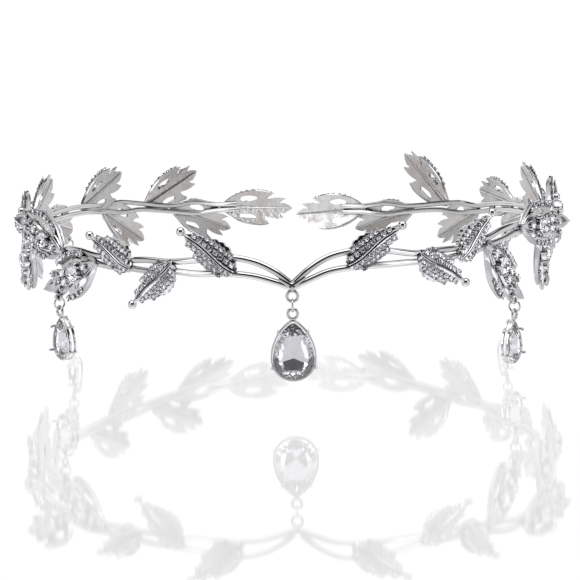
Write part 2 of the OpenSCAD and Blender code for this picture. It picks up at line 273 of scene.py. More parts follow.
def skin(rows, around, closed=False, flipped=False):
    """The faces of a bar with its two ends, or of a closed ring, from rows of points that each
    go round it. flipped is for rows that go round the other way."""
    faces = []
    for i in range(rows if closed else rows - 1):
        low, high = i * around, (i + 1) % rows * around
        for k in range(around):
            n = (k + 1) % around
            a, b, c, d = low + k, low + n, high + n, high + k
            faces.append((a, d, c, b) if flipped else (a, b, c, d))
    if not closed:
        ends = [range(around)[::-1], range((rows - 1) * around, rows * around)]
        faces += [tuple(end[::-1] if flipped else end) for end in ends]
    return faces


def fold_z(y, fold):
    """How far a folded leaf has dropped at a distance from its midrib."""
    return -abs(y) * math.tan(fold)


# How narrow a ribbon gets at its ends, and how far its underside lies below its base
RIBBON_END = 0.03
RIBBON_UNDER = 0.05


def ribbon(rows, steps, profile, half_w, length, fold, base, section):
    """A tapering bar that lies on a leaf. Columns: x and y as shares of the leaf's length
    and half width, the bar's own half width, and its top, both in millimetres."""
    path = smooth_row(rows, steps)
    xy = np.column_stack([path[:, 0] * length, path[:, 1] * half_w])
    ahead = np.gradient(xy, axis=0)
    ahead /= np.linalg.norm(ahead, axis=1)[:, None]
    points = []
    for (x, y), (dx, dy), wide, top in zip(xy, ahead, path[:, 2], path[:, 3]):
        wide = max(wide, RIBBON_END)
        for v in np.linspace(-1, 1, section):
            px, py = x - dy * wide * v, y + dx * wide * v
            points.append((px, py, base + (top - base) * profile(v) + fold_z(py, fold)))
        for v in (1, -1):
            px, py = x - dy * wide * v, y + dx * wide * v
            points.append((px, py, base - RIBBON_UNDER + fold_z(py, fold)))
    return Form().add(points, skin(steps, section + 2, flipped=True))


# The rows of a round end, as shares of the end's radius: how far on, and how wide
ROUND_END = [(0.5, 0.87), (0.85, 0.5), (1.0, 0.12)]


def tube(path, radii, sides, round_end=False):
    """A round bar along points, with one radius or a radius at each."""
    path = np.array(path, float)
    radii = list(radii) if hasattr(radii, "__len__") else [radii] * len(path)
    if round_end:
        end = path[-1]
        way = (end - path[-2]) / np.linalg.norm(end - path[-2])
        r = radii[-1]
        path = np.vstack([path] + [end + way * r * a for a, _ in ROUND_END])
        radii = radii + [r * b for _, b in ROUND_END]
    ahead = np.gradient(path, axis=0)
    ahead /= np.linalg.norm(ahead, axis=1)[:, None]
    up = np.array([0, 0, 1.0]) if abs(ahead[0][2]) < 0.9 else np.array([1.0, 0, 0])
    points = []
    for p, a, r in zip(path, ahead, radii):
        across = np.cross(a, up)
        across /= np.linalg.norm(across)
        lift = np.cross(across, a)
        up = lift
        for k in range(sides):
            turn = 2 * math.pi * k / sides
            points.append(p + r * (math.cos(turn) * across + math.sin(turn) * lift))
    return Form().add(points, skin(len(path), sides))


def ball(radius, rings, sides):
    """A round bead with its poles on Z."""
    points = [(0, 0, radius)]
    for i in range(1, rings):
        a = math.pi * i / rings
        for k in range(sides):
            t = 2 * math.pi * k / sides
            r = radius * math.sin(a)
            points.append((r * math.cos(t), r * math.sin(t), radius * math.cos(a)))
    points.append((0, 0, -radius))
    faces = [(0, 1 + k, 1 + (k + 1) % sides) for k in range(sides)]
    for i in range(rings - 2):
        for k in range(sides):
            n = (k + 1) % sides
            a = 1 + i * sides
            faces.append((a + k, a + sides + k, a + sides + n, a + n))
    low = 1 + (rings - 2) * sides
    faces += [(low + k, len(points) - 1, low + (k + 1) % sides) for k in range(sides)]
    return Form().add(points, faces)


def ring(radius, wire, around=40, sides=12):
    """A round wire ring that stands in the XZ plane."""
    points = []
    for i in range(around):
        a = 2 * math.pi * i / around
        for k in range(sides):
            t = 2 * math.pi * k / sides
            r = radius + wire / 2 * math.cos(t)
            points.append((r * math.cos(a), wire / 2 * math.sin(t), r * math.sin(a)))
    return Form().add(points, skin(around, sides, closed=True))


def cut_stone(outline, n, table, heights, deep):
    """A brilliant cut: table, stars, kites, upper and lower girdle facets and pavilion.
    outline(t) gives the girdle for t from 0 to 1. table and deep are the sizes of the table
    and of the pavilion's middle, as shares. heights: table, star, top and bottom of the
    girdle, middle of the pavilion, culet. The pavilion has material 1, the foil."""
    table_z, star_z, top_z, bottom_z, deep_z, culet_z = heights
    star = (1 + table) / 2

    def level(count, share, z, offset=0.0):
        return [(*(share * np.array(outline(((k + offset) / count) % 1))), z) for k in range(count)]

    points = level(n, table, table_z) + level(n, star, star_z, 0.5) + level(2 * n, 1, top_z)
    points += level(2 * n, 1, bottom_z) + level(n, deep, deep_z) + [(0, 0, culet_z)]
    # Where the points of each level start
    a, b, c, d, e, f = 0, n, 2 * n, 4 * n, 6 * n, 7 * n
    crown = [tuple(range(n))]
    foil = []
    for k in range(n):
        m, back = (k + 1) % n, (k - 1) % n
        crown.append((a + k, b + k, a + m))
        crown.append((a + k, b + back, c + 2 * k, b + k))
        crown.append((b + k, c + 2 * k, c + 2 * k + 1))
        crown.append((b + k, c + 2 * k + 1, c + 2 * m))
        foil.append((d + 2 * k, d + (2 * k - 1) % (2 * n), e + k))
        foil.append((d + 2 * k + 1, d + 2 * k, e + k))
        foil.append((d + 2 * k + 1, e + k, e + m))
        foil.append((e + m, e + k, f))
    for k in range(2 * n):
        m = (k + 1) % (2 * n)
        crown.append((c + k, d + k, d + m, c + m))
    form = Form().add(points, crown + foil)
    form.numbers = [0] * len(crown) + [1] * len(foil)
    return form


# The cut of the round stones: height of crown and girdle and widths of the table and of the
# pavilion's middle, as shares of the diameter, then how high the stars lie in the crown and
# how deep the middle lies in the pavilion, as shares of those
CROWN = 0.17
GIRDLE = 0.04
ROUND_TABLE = 0.56
ROUND_DEEP = 0.5
STAR_AT = 0.4
DEEP_AT = 0.6


def round_stone(diameter, n, girdle_z, pavilion):
    """A round brilliant. pavilion is its depth below the girdle, as a share."""
    heights = (CROWN + GIRDLE, STAR_AT * CROWN + GIRDLE, GIRDLE, 0, -DEEP_AT * pavilion, -pavilion)

    def outline(t):
        turn = 2 * math.pi * t
        return (diameter / 2 * math.cos(turn), diameter / 2 * math.sin(turn))

    return cut_stone(outline, n, ROUND_TABLE, [girdle_z + h * diameter for h in heights], ROUND_DEEP)


# Places on the vine


def smooth_at(column, angle):
    """Height or gap of the vine at an angle, smoothly through the rows of VINE."""
    last = len(VINE) - 1
    i = max(0, min(last - 1, sum(angle >= row[0] for row in VINE) - 1))

    def slope(j):
        a, b = max(j - 1, 0), min(j + 1, last)
        return (VINE[b][column] - VINE[a][column]) / (VINE[b][0] - VINE[a][0])

    span = VINE[i + 1][0] - VINE[i][0]
    u = (angle - VINE[i][0]) / span
    a, b = VINE[i][column], VINE[i + 1][column]
    return (
        a * (2 * u**3 - 3 * u**2 + 1) + slope(i) * span * (u**3 - 2 * u**2 + u)
        + b * (3 * u**2 - 2 * u**3) + slope(i + 1) * span * (u**3 - u**2)
    )


def at(x, y, z=0.0):
    return Matrix.Translation((x, y, z))


def ring_point(angle, height, inset=0.0):
    """A place on the oval ring, by angle from the forehead, with an inset towards the head."""
    t = math.radians(angle)
    return ((HALF_WIDTH - inset) * math.sin(t), -(HALF_DEPTH - inset) * math.cos(t), height)


def wire_point(side, angle, way=0):
    """A place on the vine's middle line, or with way 1 or -1 on one of its two wires."""
    height = smooth_at(HEIGHT_COLUMN[side], angle) + way * smooth_at(HALF_GAP, angle)
    return ring_point(angle, height, WIRE_INSET)


def ring_heading(angle):
    """The direction in which the ring runs on at an angle."""
    t = math.radians(angle)
    return math.atan2(HALF_DEPTH * math.sin(t), HALF_WIDTH * math.cos(t))


def leaf_place(side, row):
    return LEAVES[row][1 if side == LEFT else 2]


def leaf_heading(place):
    return ring_heading(place[0] + CHORD_ANGLE) - math.radians(place[3])


def mirror_of(side):
    return Matrix.Diagonal((side, 1, 1, 1))


def leaf_matrix(side, row):
    """From a leaf's own frame, X along it and Z out of its face, to the part's frame."""
    place = leaf_place(side, row)
    return (
        mirror_of(side)
        @ Matrix.Translation(ring_point(place[0], place[1]))
        @ Matrix.Rotation(leaf_heading(place), 4, "Z")
        @ Matrix.Rotation(-math.radians(place[2]), 4, "Y")
        @ QUARTER_X
        @ at(0, 0, LEAF_LIFT)
    )


def drop_matrix(drop):
    """From a drop's own frame, with the eye's middle at 0, to the part's frame."""
    _, side, row, along, across = drop
    if side == 0:
        return at(0, WIRE_INSET - HALF_DEPTH, STEM_Z - STEM_D / 2 - FRONT_EYE_R)
    y = across * LEAF_W / 2
    eye = leaf_matrix(side, row) @ Vector((along * LEAF_L, y, LEAF_T / 2 + fold_z(y, LEAF_FOLD)))
    eye.z -= SIDE_EYE_R
    heading = side * leaf_heading(leaf_place(side, row))
    return Matrix.Translation(eye) @ Matrix.Rotation(heading, 4, "Z")


def eye_r(drop):
    return SIDE_EYE_R if drop[1] else FRONT_EYE_R


def link_z(drop):
    return -eye_r(drop) + WIRE_PITCH - LINK_R


def loop_z(drop):
    return link_z(drop) - LINK_R + WIRE_PITCH - LOOP_R


# Materials


def node_tree(owner):
    """The nodes and links of a material or a world."""
    owner.use_nodes = True
    return owner.node_tree.nodes, owner.node_tree.links


def add_node(nodes, kind, **values):
    """A new shader node. values are for its inputs, with _ where a name has a space."""
    node = nodes.new("ShaderNode" + kind)
    for name, value in values.items():
        node.inputs[name.replace("_", " ")].default_value = value
    return node


def add_ramp(nodes, rows):
    """A colour ramp node. Columns: position and colour."""
    ramp = nodes.new("ShaderNodeValToRGB")
    steps = ramp.color_ramp.elements
    for step, (position, colour) in zip(steps, (rows[0], rows[-1])):
        step.position = position
        step.color = (*colour, 1)
    for position, colour in rows[1:-1]:
        steps.new(position).color = (*colour, 1)
    return ramp


def silver(name, tint, rough_low, rough_high, patch=None, bump=0.02, painted_shade_reach=0.001,
           painted_shade=0.15, metallic=1):
    """Bright cast metal: polish that varies, fine unevenness, patches of another tint, and
    painted shade in its corners, where an ambient occlusion node darkens the colour. The
    painted shade leaves a given share of the light there, within a given reach in metres."""
    material = bpy.data.materials.new(name)
    nodes, links = node_tree(material)
    shader = nodes["Principled BSDF"]
    shader.inputs["Metallic"].default_value = metallic
    where = add_node(nodes, "TexCoord").outputs["Object"]
    polish = add_node(nodes, "TexNoise", Scale=420, Detail=4)
    cloud = add_node(nodes, "TexNoise", Scale=130, Detail=3)
    fine = add_node(nodes, "TexNoise", Scale=900, Detail=2)
    for noise in (polish, cloud, fine):
        links.new(where, noise.inputs["Vector"])
    rough = add_node(nodes, "MapRange", From_Min=0.35, From_Max=0.7, To_Min=rough_low,
                     To_Max=rough_high)
    links.new(polish.outputs["Fac"], rough.inputs["Value"])
    links.new(rough.outputs["Result"], shader.inputs["Roughness"])
    ramp = add_ramp(nodes, [(0.42, tint), (0.72, patch or [0.9 * c for c in tint])])
    links.new(cloud.outputs["Fac"], ramp.inputs["Fac"])
    # Painted shade: the occlusion node darkens the colour in corners and between parts, down to the
    # given share of light
    deep = add_node(nodes, "AmbientOcclusion", Distance=painted_shade_reach)
    deep.samples = 6
    shade = add_node(nodes, "MapRange", From_Min=0.2, From_Max=0.75, To_Min=painted_shade, To_Max=1)
    links.new(deep.outputs["AO"], shade.inputs["Value"])
    darken = add_node(nodes, "VectorMath")
    darken.operation = "SCALE"
    links.new(ramp.outputs["Color"], darken.inputs[0])
    links.new(shade.outputs["Result"], darken.inputs["Scale"])
    links.new(darken.outputs["Vector"], shader.inputs["Base Color"])
    relief = add_node(nodes, "Bump", Strength=bump, Distance=0.0004)
    links.new(fine.outputs["Fac"], relief.inputs["Height"])
    links.new(relief.outputs["Normal"], shader.inputs["Normal"])
    return material


def crystal(name, tint):
    """Clear cut glass with faint clouding in its tint."""
    material = bpy.data.materials.new(name)
    nodes, links = node_tree(material)
    shader = nodes["Principled BSDF"]
    shader.inputs["Transmission Weight"].default_value = 1
    shader.inputs["IOR"].default_value = 1.6
    shader.inputs["Roughness"].default_value = 0
    where = add_node(nodes, "TexCoord")
    cloud = add_node(nodes, "TexNoise", Scale=300)
    links.new(where.outputs["Object"], cloud.inputs["Vector"])
    ramp = add_ramp(nodes, [(0.35, tint), (0.75, (1, 1, 1))])
    links.new(cloud.outputs["Fac"], ramp.inputs["Fac"])
    links.new(ramp.outputs["Color"], shader.inputs["Base Color"])
    return material


# Each metal's painted shade in its corners comes from the occlusion node in silver; a share of light of
# 1, as in the foils, paints none
SILVER = silver("polished_silver", (0.66, 0.66, 0.67), 0.07, 0.15)
BACK = silver("cast_back", (0.62, 0.62, 0.63), 0.22, 0.42, patch=(0.55, 0.49, 0.45), bump=0.25,
              painted_shade_reach=0.0014, painted_shade=0.25)
LEAF_SILVER = silver("leaf_silver", (0.64, 0.64, 0.65), 0.07, 0.16, painted_shade_reach=0.0013,
                     painted_shade=0.05)
SATIN = silver("satin_silver", (0.5, 0.5, 0.52), 0.26, 0.36, bump=0.06)
SEAT = silver("seat_silver", (0.76, 0.76, 0.77), 0.1, 0.2, painted_shade=0.45)
CRYSTAL = crystal("crystal", (0.96, 0.96, 1))
FOIL = silver("foil", (0.95, 0.95, 0.98), 0.03, 0.08, painted_shade=1, metallic=0.93)
PEAR_FOIL = silver("pear_foil", (0.97, 0.97, 1), 0.02, 0.06, patch=(0.84, 0.86, 0.78), painted_shade=1,
                   metallic=0.85)
PEAR_CRYSTAL = crystal("pear_crystal", (0.96, 0.955, 1))


# Large leaves

# Bars of a large leaf on one side of its midrib. Columns: x and y as shares of the leaf's
# length and half width, half width and top of the bar in millimetres. The petal on +Y has
# a thin flank, and the other one a broad flank that narrows where its stones begin.
THIN_FLANK = [
    (0.01, 0.06, 0.2, 0.9),
    (0.06, 0.28, 0.24, 1.05),
    (0.16, 0.58, 0.24, 1.1),
    (0.28, 0.84, 0.16, 0.95),
    (0.44, 0.98, 0.1, 0.85),
    (0.57, 0.98, 0.1, 0.8),
    (0.71, 0.85, 0.06, 0.75),
]
BROAD_FLANK = [
    (0.01, 0.06, 0.3, 0.9),
    (0.06, 0.19, 0.45, 1.1),
    (0.16, 0.42, 0.62, 1.3),
    (0.26, 0.66, 0.65, 1.35),
    (0.36, 0.83, 0.4, 1.25),
    (0.46, 0.94, 0.16, 1),
    (0.57, 0.96, 0.14, 0.9),
    (0.66, 0.9, 0.08, 0.8),
]
# The bars that carry the stones of the two petals
UPPER_LEDGE = [
    (0.2, 0.58, 0.4, 0.95),
    (0.3, 0.76, 0.55, 1.05),
    (0.42, 0.86, 0.6, 1.1),
    (0.54, 0.86, 0.6, 1.1),
    (0.64, 0.8, 0.5, 1.05),
    (0.71, 0.8, 0.2, 0.9),
]
LOWER_LEDGE = [
    (0.28, 0.6, 0.25, 0.9),
    (0.36, 0.7, 0.75, 1.05),
    (0.47, 0.76, 0.95, 1.1),
    (0.56, 0.78, 0.9, 1.1),
    (0.62, 0.8, 0.55, 1.05),
    (0.66, 0.84, 0.2, 0.9),
]
# Where the rows of small stones run on the two petals. Columns as for the bars, with no
# width of their own.
UPPER_ROW = [
    (0.23, 0.66, 0, 1),
    (0.33, 0.82, 0, 1.05),
    (0.45, 0.9, 0, 1.1),
    (0.57, 0.9, 0, 1.1),
    (0.68, 0.82, 0, 1.05),
]
LOWER_ROW = [
    (0.38, 0.8, 0, 1.05),
    (0.46, 0.86, 0, 1.1),
    (0.55, 0.88, 0, 1.1),
    (0.63, 0.84, 0, 1.05),
]
# Two ribs at the leaf's base, its boat shaped middle, the lobe beside that, and its tip
RIBS = [
    [(0.02, 0.04, 0.12, 1), (0.1, 0.2, 0.26, 1.3), (0.24, 0.33, 0.2, 1.1)],
    [(0.02, 0.06, 0.14, 1), (0.1, 0.34, 0.3, 1.35), (0.24, 0.54, 0.24, 1.2)],
]
BOAT = [
    (0, 0, 0.5, 0.9),
    (0.08, 0, 1, 1.15),
    (0.17, 0, 1.5, 1.15),
    (0.24, 0, 1.75, 1.1),
    (0.3, 0, 1.85, 0.6),
    (0.36, 0, 1.9, 0.4),
    (0.46, 0, 1.9, 0.7),
    (0.55, 0, 2.5, 1.05),
    (0.63, 0, 2.6, 1.1),
    (0.72, 0, 1.9, 1.05),
    (0.8, 0, 0.9, 0.95),
    (0.86, 0, 0.25, 0.8),
]
LOBE = [
    (0.56, 0.22, 0.5, 1.1),
    (0.65, 0.34, 0.85, 1.2),
    (0.74, 0.42, 0.8, 1.2),
    (0.82, 0.48, 0.5, 1.1),
    (0.89, 0.54, 0.06, 0.8),
]
TIP = [
    (0.76, 0, 0.5, 1.05),
    (0.82, 0, 1.15, 1.5),
    (0.88, 0, 1.25, 1.5),
    (0.94, 0, 0.7, 1.25),
    (1.01, 0, 0.06, 0.85),
]
# The small stones of the petals. Columns: side of the midrib, row or bar, first and last
# place along it, and how many there are.
PETAL_STONES = [
    (1, UPPER_ROW, 0, 1, 7),
    (-1, LOWER_ROW, 0, 1, 4),
    (1, LOBE, 0.25, 0.6, 2),
    (-1, LOBE, 0.25, 0.6, 2),
]
# The small stones on the midrib: their places along the leaf, and the top of the metal there
CENTRE_STONES = [0.66, 0.73]
CENTRE_TOP = 1.05
PETAL_D = 1.5
PETAL_BEAD_R = 0.2
# The edge of a leaf's back plate, as shares: the full upper petal and the leaner lower one
UPPER_EDGE = [
    (0, 0.08), (0.04, 0.28), (0.12, 0.58), (0.24, 0.84), (0.4, 0.98), (0.54, 1), (0.64, 0.93),
    (0.725, 0.84), (0.66, 0.66), (0.63, 0.46), (0.72, 0.56), (0.8, 0.6), (0.9, 0.56), (0.85, 0.42),
    (0.81, 0.26), (0.88, 0.3), (0.95, 0.18), (1, 0.03),
]
LOWER_EDGE = [
    (0, 0.08), (0.04, 0.2), (0.12, 0.42), (0.24, 0.68), (0.36, 0.87), (0.48, 0.97), (0.58, 0.98),
    (0.67, 0.9), (0.62, 0.7), (0.61, 0.46), (0.7, 0.56), (0.79, 0.6), (0.89, 0.56), (0.85, 0.42),
    (0.81, 0.26), (0.88, 0.3), (0.95, 0.18), (1, 0.03),
]
PLATE_T = 0.55

# The slots of a leaf: half length, half width, their place as shares, and how they lean
SLOT_HALF_L = 3
SLOT_HALF_W = 0.95
SLOT_AT = (0.38, 0.51)
SLOT_LEAN = 0.06
SLOT_STEPS = 20
# How much narrower a slot is at its far end, as a share
SLOT_TAPER = 0.2
# How high the bars on a leaf's front begin, and the middle one
BAR_BASE = 0.3
BOAT_BASE = 0.2

# How high the girdle of a small stone sits above the metal that it is set in
LIFT = 0.28
# How deep a small stone's pavilion is, as a share of its diameter
SMALL_PAVILION = 0.24
# How far a small stone leans from its place, and the turn that it gets for each face of
# the stones before it
TILT = math.radians(6)
TURN = 2.4
# Where the four beads round a small stone stand: distance from its edge, and turn in degrees
BEAD_GAP = 0.08
BEAD_TURN = 35

# The numbers of the leaves' metals, in the order in which their pieces hold them
FACE_NUMBER, BACK_NUMBER, SEAT_NUMBER, SATIN_NUMBER = range(4)
LEAF_METALS = [LEAF_SILVER, BACK, SEAT, SATIN]
# The round seats of the stones. Columns: how far the wall stands inside the stone's edge, its
# foot, its top, its thickness, and the number of its sides.
MAIN_SEAT = (0.4, 0.6, 1.95, 0.3, 28)
ACCENT_SEAT = (0.15, 0.8, 1.75, 0.12, 18)
# Their claws. Columns: angles in degrees, how far they stand outside the stone's edge, their
# foot and their tip, how far they reach over the edge, and their radius.
MAIN_CLAWS = ((40, 140, 220, 320), 0.08, 0.5, 2.55, 0.3, 0.2)
ACCENT_CLAWS = ((45, 135, 225, 315), -0.03, 1, 2, 0.1, 0.12)
# The rounded top of a seat: how far below its height it begins outside and inside, and
# where in the wall it is highest, as a share
SEAT_OUTSIDE = 0.15
SEAT_INSIDE = 0.1
SEAT_HIGHEST = 0.6
# How far outside a claw's radius its foot, middle and bend are, how far its bend lies below
# its tip, and how thick it is at these four places, as shares
CLAW_OUT = (0.25, 0.2, 0.05)
CLAW_BEND = 0.25
CLAW_THICK = (1.15, 1, 1, 0.95)

# The ring behind the main stone: radius and thickness
BACK_RING = (1.95, 0.5)
# The rounded edge of a leaf: how many points of its outline it follows, its steps, how far in
# and up it lies, and its radius at the base, in the middle and at the end
EDGE_POINTS = 8
EDGE_STEPS = 30
EDGE_IN = 0.2
EDGE_UP = 0.02
EDGE_RADII = (0.18, 0.26, 0.1)
# The rib on a leaf's back: height, end as a share of the length, first and last radius
BACK_RIB_Z = -0.1
BACK_RIB_END = 0.96
BACK_RIB_RADII = (0.6, 0.2)


def slot_outline(cx, cy, lean):
    """A slot of a large leaf, narrower at its far end, round a middle and turned by lean."""
    outline = []
    for k in range(SLOT_STEPS):
        a = 2 * math.pi * k / SLOT_STEPS
        u = SLOT_HALF_L * math.cos(a)
        v = SLOT_HALF_W * math.sin(a) * (1 - SLOT_TAPER * math.cos(a))
        outline.append((cx + u * math.cos(lean) - v * math.sin(lean),
                        cy + u * math.sin(lean) + v * math.cos(lean)))
    return outline


def plate(upper, lower, length, half_w, fold, thick, slots=()):
    """The thin plate behind a leaf: its outline with slots cut through, folded at the rib."""
    curve = bpy.data.curves.new("outline", "CURVE")
    curve.dimensions = "2D"
    curve.fill_mode = "BOTH"
    curve.extrude = thick / 2
    edge = [(x * length, y * half_w) for x, y in upper]
    edge += [(x * length, -y * half_w) for x, y in reversed(lower)]
    for loop in [edge, *slots]:
        spline = curve.splines.new("POLY")
        spline.points.add(len(loop) - 1)
        spline.use_cyclic_u = True
        for point, (x, y) in zip(spline.points, loop):
            point.co = (x, y, 0, 1)
    holder = add_object("outline", curve)
    bpy.context.view_layer.update()
    mesh = bpy.data.meshes.new_from_object(holder)
    bm = bmesh.new()
    bm.from_mesh(mesh)
    bmesh.ops.bisect_plane(bm, geom=bm.verts[:] + bm.edges[:] + bm.faces[:], plane_co=(0, 0, 0),
                           plane_no=(0, 1, 0))
    bmesh.ops.remove_doubles(bm, verts=bm.verts, dist=0.001)
    bmesh.ops.recalc_face_normals(bm, faces=bm.faces)
    points = [(v.co.x, v.co.y, v.co.z + thick / 2 + fold_z(v.co.y, fold)) for v in bm.verts]
    form = Form().add(points, [[v.index for v in f.verts] for f in bm.faces])
    form.numbers = [BACK_NUMBER if f.normal.z < -0.5 else FACE_NUMBER for f in bm.faces]
    bm.free()
    bpy.data.objects.remove(holder)
    bpy.data.curves.remove(curve)
    bpy.data.meshes.remove(mesh)
    return form


def on_side(rows, way):
    """The rows of a bar on the side of the midrib that way says, 1 or -1."""
    return [(x, way * y, *rest) for x, y, *rest in rows]


def collar(radius, low, high, wall, sides):
    """A short round tube that carries a stone."""
    section = [(radius, low), (radius + wall, low), (radius + wall, high - SEAT_OUTSIDE),
               (radius + SEAT_HIGHEST * wall, high), (radius, high - SEAT_INSIDE)]
    points = []
    for k in range(sides):
        t = 2 * math.pi * k / sides
        points += [(r * math.cos(t), r * math.sin(t), z) for r, z in section]
    return Form().add(points, skin(sides, len(section), closed=True, flipped=True))


def claw(angle, radius, low, high, reach, thick):
    """A claw that leans over a stone's edge and ends in a round tip."""
    c, s = math.cos(angle), math.sin(angle)
    places = [radius + out for out in CLAW_OUT] + [radius - reach]
    heights = [low, (low + high) / 2, high - CLAW_BEND, high]
    path = [(r * c, r * s, z) for r, z in zip(places, heights)]
    return tube(path, [thick * share for share in CLAW_THICK], sides=8, round_end=True)


def row_spots(rows, first, last, count, steps=100):
    """Even places on a bar, from first to last, both as shares of the bar."""
    path = smooth_row(rows, steps + 1)
    return [path[int(round(steps * t))] for t in np.linspace(first, last, count)]


def place_stone(stones, metal, cut, bead, diameter, x, y, top, fold):
    """A small stone that is held by four beads of metal. Each sits a little differently."""
    z = top + fold_z(y, fold) + LIFT
    turn = TURN * len(stones.faces)
    lean = Matrix.Rotation(TILT * math.sin(3 * turn), 4, "X")
    nod = Matrix.Rotation(TILT * math.cos(5 * turn), 4, "Y")
    stones.stamp(cut, at(x, y, z) @ lean @ nod @ Matrix.Rotation(turn, 4, "Z"))
    reach = diameter / 2 + BEAD_GAP
    for k in range(4):
        a = math.radians(90 * k + BEAD_TURN)
        metal.stamp(bead, at(x + reach * math.cos(a), y + reach * math.sin(a), z))


def add_seat(metal, radius, seat, claws, spot):
    """The round seat and the claws of a stone of some radius."""
    inside, low, high, wall, sides = seat
    metal.stamp(collar(radius - inside, low, high, wall, sides), spot, SEAT_NUMBER)
    angles, outside, *shape = claws
    for angle in angles:
        metal.stamp(claw(math.radians(angle), radius + outside, *shape), spot)


def add_bars(metal, half):
    """The raised metal of a large leaf's front."""

    def bar(rows, steps, profile, section, number=FACE_NUMBER, fold=LEAF_FOLD, base=BAR_BASE):
        metal.stamp(ribbon(rows, steps, profile, half, LEAF_L, fold, base, section), number=number)

    for way, flank, ledge in ((1, THIN_FLANK, UPPER_LEDGE), (-1, BROAD_FLANK, LOWER_LEDGE)):
        bar(on_side(flank, way), 30, dome, 11, SATIN_NUMBER)
        bar(on_side(ledge, way), 20, soft_flat, 7)
        bar(on_side(LOBE, way), 14, soft_flat, 9)
        for rib in RIBS:
            bar(on_side(rib, way), 10, dome, 7)
    bar(BOAT, 40, soft_flat, 11, fold=0, base=BOAT_BASE)
    bar(TIP, 16, roof, 15, SATIN_NUMBER)


def add_back(metal, half):
    """The ring, the rounded edges and the rib that a large leaf shows from behind."""
    metal.stamp(ring(*BACK_RING, 32, 8), at(STONE_X * LEAF_L, 0) @ QUARTER_X, BACK_NUMBER)
    radii = np.interp(range(EDGE_STEPS), (0, EDGE_STEPS / 2, EDGE_STEPS - 1), EDGE_RADII)
    for way, outline in ((1, UPPER_EDGE), (-1, LOWER_EDGE)):
        edge = [(x * LEAF_L, way * (y * half - EDGE_IN)) for x, y in outline[:EDGE_POINTS]]
        path = [(x, y, fold_z(y, LEAF_FOLD) + EDGE_UP) for x, y in smooth_row(edge, EDGE_STEPS)]
        metal.stamp(tube(path, radii, 8))
    rib = [(x * LEAF_L, 0, BACK_RIB_Z) for x in np.linspace(0, BACK_RIB_END, 12)]
    metal.stamp(tube(rib, np.linspace(*BACK_RIB_RADII, 12), 8))


def large_leaf():
    """The metal of a large leaf and the small stones set in it."""
    metal = Form()
    stones = Form()
    half = LEAF_W / 2
    slots = [slot_outline(SLOT_AT[0] * LEAF_L, way * SLOT_AT[1] * half, way * SLOT_LEAN)
             for way in (1, -1)]
    metal.stamp(plate(UPPER_EDGE, LOWER_EDGE, LEAF_L, half, LEAF_FOLD, PLATE_T, slots))
    add_bars(metal, half)
    add_back(metal, half)
    bead = ball(PETAL_BEAD_R, 4, 6)
    cut = round_stone(PETAL_D, 6, 0, SMALL_PAVILION)
    for way, row, first, last, count in PETAL_STONES:
        for x, y, _, top in row_spots(row, first, last, count):
            place_stone(stones, metal, cut, bead, PETAL_D, x * LEAF_L, way * y * half, top,
                        LEAF_FOLD)
    for x in CENTRE_STONES:
        place_stone(stones, metal, cut, bead, PETAL_D, x * LEAF_L, 0, CENTRE_TOP, 0)
    add_seat(metal, STONE_D / 2, MAIN_SEAT, MAIN_CLAWS, at(STONE_X * LEAF_L, 0))
    for x, y, share in ACCENTS:
        add_seat(metal, share * ACCENT_D / 2, ACCENT_SEAT, ACCENT_CLAWS, at(x * LEAF_L, y * half))
    return metal, stones


# Small leaves

# Half the width of a small leaf along it, as shares
SMALL_EDGE = [
    (0, 0.14), (0.1, 0.5), (0.22, 0.78), (0.36, 0.93), (0.5, 0.9), (0.66, 0.7), (0.82, 0.42),
    (1, 0.14),
]
SMALL_EDGE_STEPS = 65
# The scallops of its edge: how many, how deep as a share, where between their tops and
# bottoms the edge runs, and how quickly they grow with the leaf's width
SCALLOPS = 8
SCALLOP_DEPTH = 0.09
SCALLOP_MIDDLE = 0.4
SCALLOP_GROWTH = 4
SMALL_PLATE_T = 1
# The raised body. Columns: place along the leaf and half width, as shares, and its top.
SMALL_BODY = [
    (0, 0.3, 0.8), (0.12, 0.45, 1), (0.3, 0.74, 1.1), (0.5, 0.76, 1.1), (0.7, 0.56, 1.05),
    (0.86, 0.32, 1), (1, 0.14, 0.9),
]
SMALL_BASE = 0.2
# The two bars of the midrib, with the columns of a large leaf's bars
MIDRIB = [
    (0, 0, 0.14, 1.3),
    (0.2, -0.07, 0.17, 1.6),
    (0.45, 0.02, 0.16, 1.65),
    (0.7, 0.09, 0.14, 1.55),
    (0.9, 0.03, 0.13, 1.4),
    (1.03, 0, 0.12, 1.2),
]
MIDRIB_BASE = 0.5
# How far each of the two bars lies from their middle, as a share of the half width
MIDRIB_APART = 0.06
# Rows of stones on a small leaf. Columns: y as a share of the half width, where the row
# starts and ends as shares of the length, and how many stones it has.
PAVE_ROWS = [(0.31, 0.1, 0.88, 8), (0.66, 0.2, 0.68, 6)]
PAVE_TOP = 1.05
PAVE_D = 1.4
PAVE_BEAD_R = 0.17
# The stalk and the ball at a small leaf's end: places past the end, and heights
STALK = [(-0.6, 0.6), (1.2, 0.55)]
STALK_R = 0.5
BALL_AT = (1.6, 0.55)


